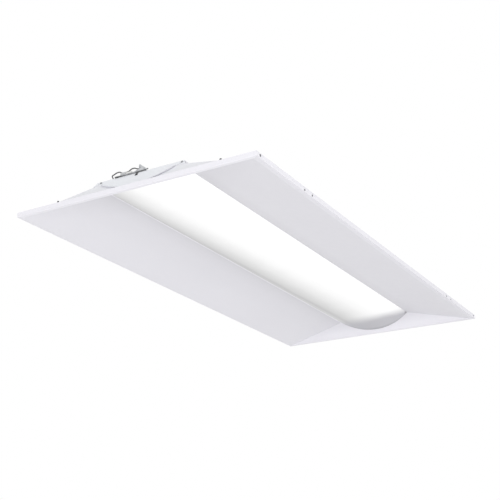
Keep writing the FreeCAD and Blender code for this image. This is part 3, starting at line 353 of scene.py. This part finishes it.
def opal_lens(name):
    """frosted opal lens lit from behind: full light on the right and in the middle, with painted shade dimming the
    emission over the left shoulder, and a soft crescent of painted shade at the far end, where the emission stops and
    the body colour darkens"""
    mat, nt, b = new_material(name)
    xyz = nt.nodes.new("ShaderNodeSeparateXYZ")
    nt.links.new(place(nt), xyz.inputs[0])
    x, y = xyz.outputs[0], xyz.outputs[1]
    cloud = math_node(nt, "MULTIPLY", math_node(nt, "SUBTRACT", noise(nt, 14.0, 3.0), 0.5), 0.016)
    skew = math_node(nt, "SUBTRACT", x, math_node(nt, "MULTIPLY", y, 0.045))
    skew = math_node(nt, "ADD", skew, cloud)
    # the lens emission, with painted shade dimming it over the left shoulder and leaning with y
    glow_with_left_shade = ramp(nt, math_node(nt, "ADD", math_node(nt, "MULTIPLY", skew, 4.0), 0.5, True),
                [((v * 4.0) + 0.5, grey(g)) for v, g in GLOW_WITH_LEFT_SHADE])
    # painted shade: a soft crescent at the far end, bounded by a curve in x, takes the emission away and leaves a
    # little on its right-hand part
    off = math_node(nt, "SUBTRACT", x, 0.010)
    shade_line = math_node(nt, "ADD", math_node(nt, "MULTIPLY", math_node(nt, "MULTIPLY", off, off), 6.9), 0.492)
    into = math_node(nt, "ADD", math_node(nt, "SUBTRACT", y, shade_line), 0.048)
    into = math_node(nt, "MULTIPLY", math_node(nt, "ADD", into, cloud), 1.0 / 0.086, True)
    shade = nt.nodes.new("ShaderNodeMapRange")
    shade.interpolation_type = "SMOOTHSTEP"
    nt.links.new(into, shade.inputs["Value"])
    spill = ramp(nt, math_node(nt, "MULTIPLY", x, 10.0, True), [(0.0, grey(0.0)), (0.15, grey(0.04)), (0.30, grey(0.07)), (0.60, grey(0.09)), (0.9, grey(0.05))])
    clear = math_node(nt, "MAXIMUM", math_node(nt, "SUBTRACT", 1.0, shade.outputs[0]), spill)
    margin = math_node(nt, "MULTIPLY", math_node(nt, "ADD", x, 0.1075), 50.0, True)
    # painted highlight: a faint band of extra emission about 16 mm wide just inside the left margin
    left_highlight = ramp(nt, margin, [(0.10, grey(0.0)), (0.17, grey(0.028)), (0.55, grey(0.026)), (0.9, grey(0.0))])
    total = math_node(nt, "MULTIPLY", math_node(nt, "ADD", glow_with_left_shade, left_highlight), clear)
    b.inputs["Emission Color"].default_value = (1.0, 1.0, 1.0, 1.0)
    nt.links.new(total, b.inputs["Emission Strength"])
    # painted shade: the body colour turns darker and bluer inside the crescent
    body = ramp(nt, shade.outputs[0], [(0.0, grey(0.60)), (1.0, (0.533, 0.529, 0.563))])
    frost = ramp(nt, noise(nt, 260.0, 3.0), [(0.3, grey(0.985)), (0.7, grey(1.0))])
    # painted shade: darker over the last 14 mm at the far end, and a painted shadow spot where the far end meets the
    # right margin
    rim = ramp(nt, math_node(nt, "MULTIPLY", math_node(nt, "SUBTRACT", y, 0.560), 25.0, True), [(0.35, grey(1.0)), (0.7, grey(0.80))])
    corner_shadow = math_node(nt, "MULTIPLY", math_node(nt, "SUBTRACT", math_node(nt, "ADD", x, math_node(nt, "MULTIPLY", y, 0.5)), 0.385), 90.0, True)
    nt.links.new(times(nt, times(nt, body, frost), times(nt, rim, ramp(nt, corner_shadow, [(0.0, grey(1.0)), (0.8, grey(0.22))]))), b.inputs["Base Color"])
    # the base colour is darker over the first 1.5 mm of the left margin
    left_margin_dark = ramp(nt, margin, [(0.09, grey(0.80)), (0.16, grey(1.0))])
    nt.links.new(times(nt, b.inputs["Base Color"].links[0].from_socket, left_margin_dark), b.inputs["Base Color"])
    b.inputs["Roughness"].default_value = 0.6
    b.inputs["Specular IOR Level"].default_value = 0.3
    bump(nt, b, noise(nt, 1400.0, 2.0), 0.05, 0.0002)
    return mat


def led_dome(name):
    mat, nt, b = new_material(name)
    nt.links.new(ramp(nt, noise(nt, 900.0), [(0.3, (0.80, 0.62, 0.16)), (0.7, (0.95, 0.80, 0.30))]), b.inputs["Base Color"])
    b.inputs["Emission Color"].default_value = (1.0, 0.96, 0.88, 1.0)
    b.inputs["Emission Strength"].default_value = 2.0
    b.inputs["Roughness"].default_value = 0.25
    bump(nt, b, noise(nt, 3000.0), 0.05, 0.0001)
    return mat


WHITE = (0.750, 0.742, 0.785)
GLOW_WITH_LEFT_SHADE = [(-0.104, 0.110), (-0.095, 0.080), (-0.085, 0.035), (-0.075, 0.015), (-0.060, 0.095), (-0.045, 0.135), (-0.030, 0.185),
        (-0.015, 0.25), (0.0, 0.30), (0.015, 0.36), (0.030, 0.40), (0.060, 0.47), (0.100, 0.50)]
SIDE_SHADE_AND_HIGHLIGHT = [(-0.300, 1.045), (-0.270, 1.045), (-0.240, 1.04), (-0.210, 1.03), (-0.180, 1.01), (-0.150, 0.995), (-0.125, 0.955),
             (-0.115, 0.925), (-0.1090, 0.87), (-0.1082, 1.23), (-0.106, 1.23), (0.106, 0.88), (0.1105, 0.87), (0.115, 0.915), (0.125, 0.94),
             (0.150, 0.975), (0.300, 0.975)]
MATS = {
    "white_steel": powder_coat("white_powder_coat", WHITE),
    "opal_lens": opal_lens("opal_lens"),
    "led_board_mask": circuit("white_solder_mask", (0.80, 0.80, 0.78), 0.9),
    "led_phosphor": led_dome("led_phosphor"),
    "white_nylon": plastic("white_nylon", (0.74, 0.74, 0.72)),
    "pale_grey_nylon": plastic("pale_grey_nylon", (0.50, 0.51, 0.52)),
    "galvanised_steel": galvanised("galvanised_steel"),
    "spring_steel": zinc("oiled_spring_steel", (0.075, 0.077, 0.085), 0.4, 0.45),
    "zinc_screws": zinc("zinc_plated"),
    "dark_screws": zinc("dark_plated", (0.17, 0.17, 0.18), 0.6, 0.42),
    "driver_metal": powder_coat("driver_enamel", (0.66, 0.66, 0.68), 0.38, 0.04),
    "driver_pcb": circuit("green_solder_mask", (0.02, 0.16, 0.06), 0.5),
    "orange_terminals": plastic("orange_terminal_plastic", (0.72, 0.20, 0.03)),
    "black_nylon": plastic("black_nylon", (0.018, 0.018, 0.020)),
    "black_rubber": plastic("black_rubber", (0.014, 0.014, 0.014), 0.7, 900.0, 0.1),
    "green_screw": zinc("green_plated", (0.03, 0.22, 0.07), 0.5, 0.4),
    "tinned_copper": zinc("tinned_copper", (0.60, 0.58, 0.54), 0.9, 0.3),
    "black_insulation": plastic("black_insulation", (0.11, 0.11, 0.115), 0.3),
    "white_insulation": plastic("white_insulation", (0.72, 0.72, 0.70), 0.35),
    "green_insulation": plastic("green_insulation", (0.02, 0.20, 0.06), 0.35),
}
OWN = {
    # painted shade and highlight across the side panels from the listed tone, and a painted highlight on the right
    # rim wall
    "side_panel_left": sheet_steel("side_panel_coat_left", WHITE, SIDE_SHADE_AND_HIGHLIGHT, 1.0, (0.98, 1.0, 1.0)),
    "side_panel_right": sheet_steel("side_panel_coat_right", WHITE, SIDE_SHADE_AND_HIGHLIGHT, 1.06, (0.98, 1.0, 1.0), rim_wall_light=0.055),
    # painted light: the end panels and channel end plates take lighter copies of the white, each with its own flange
    # and upward-face factors; the far end panel adds painted shade with height and away from the middle, the end
    # plates painted shade on one side of the lip
    "end_panel_near": sheet_steel("end_panel_coat_near", tuple(c * 1.03 for c in WHITE), None, 1.07, (1.03, 1.05, 1.03)),
    "end_panel_far": sheet_steel("end_panel_coat_far", tuple(c * 1.165 for c in WHITE), None, 0.965, (0.985, 1.015, 1.0), shade_with_height=0.08, shade_to_sides=0.06),
    "channel_end_plate_near": sheet_steel("end_plate_coat_near", tuple(c * 1.09 for c in WHITE), None, 1.0, (0.985, 1.015, 1.0), lip=0.16),
    "channel_end_plate_far": sheet_steel("end_plate_coat_far", tuple(c * 1.09 for c in WHITE), None, 1.0, (0.985, 1.015, 1.0), lip=0.16),
    "connector_bracket": bracket_steel("bracket_steel"),
    "end_panel_rivets": coated_rivet("coated_rivet"),
    "end_plate_screws": zinc("plate_screw_zinc", (0.34, 0.34, 0.35), 0.5, 0.45),
}
slots = {row["node"]: row["material_slot"] for row in frame["record"]["subparts"]}
for name, obj in nodes.items():
    mat = OWN.get(name) or MATS[slots[name]]
    if not obj.material_slots:
        obj.data.materials.append(mat)
    for s in obj.material_slots:
        s.material = mat

# ---------------------------------------------------------------- floor
me = bpy.data.meshes.new("floor")
bm = bmesh.new()
bmesh.ops.create_grid(bm, x_segments=1, y_segments=1, size=9.0)
bm.to_mesh(me)
bm.free()
floor = bpy.data.objects.new("floor", me)
floor.location = (0.0, 0.0, -3.2)
scene.collection.objects.link(floor)
fmat, fnt, fb = new_material("pale_floor")
fnt.links.new(ramp(fnt, noise(fnt, 0.7, 4.0), [(0.3, (0.80, 0.80, 0.80)), (0.7, (0.84, 0.84, 0.84))]), fb.inputs["Base Color"])
fb.inputs["Roughness"].default_value = 0.85
me.materials.append(fmat)
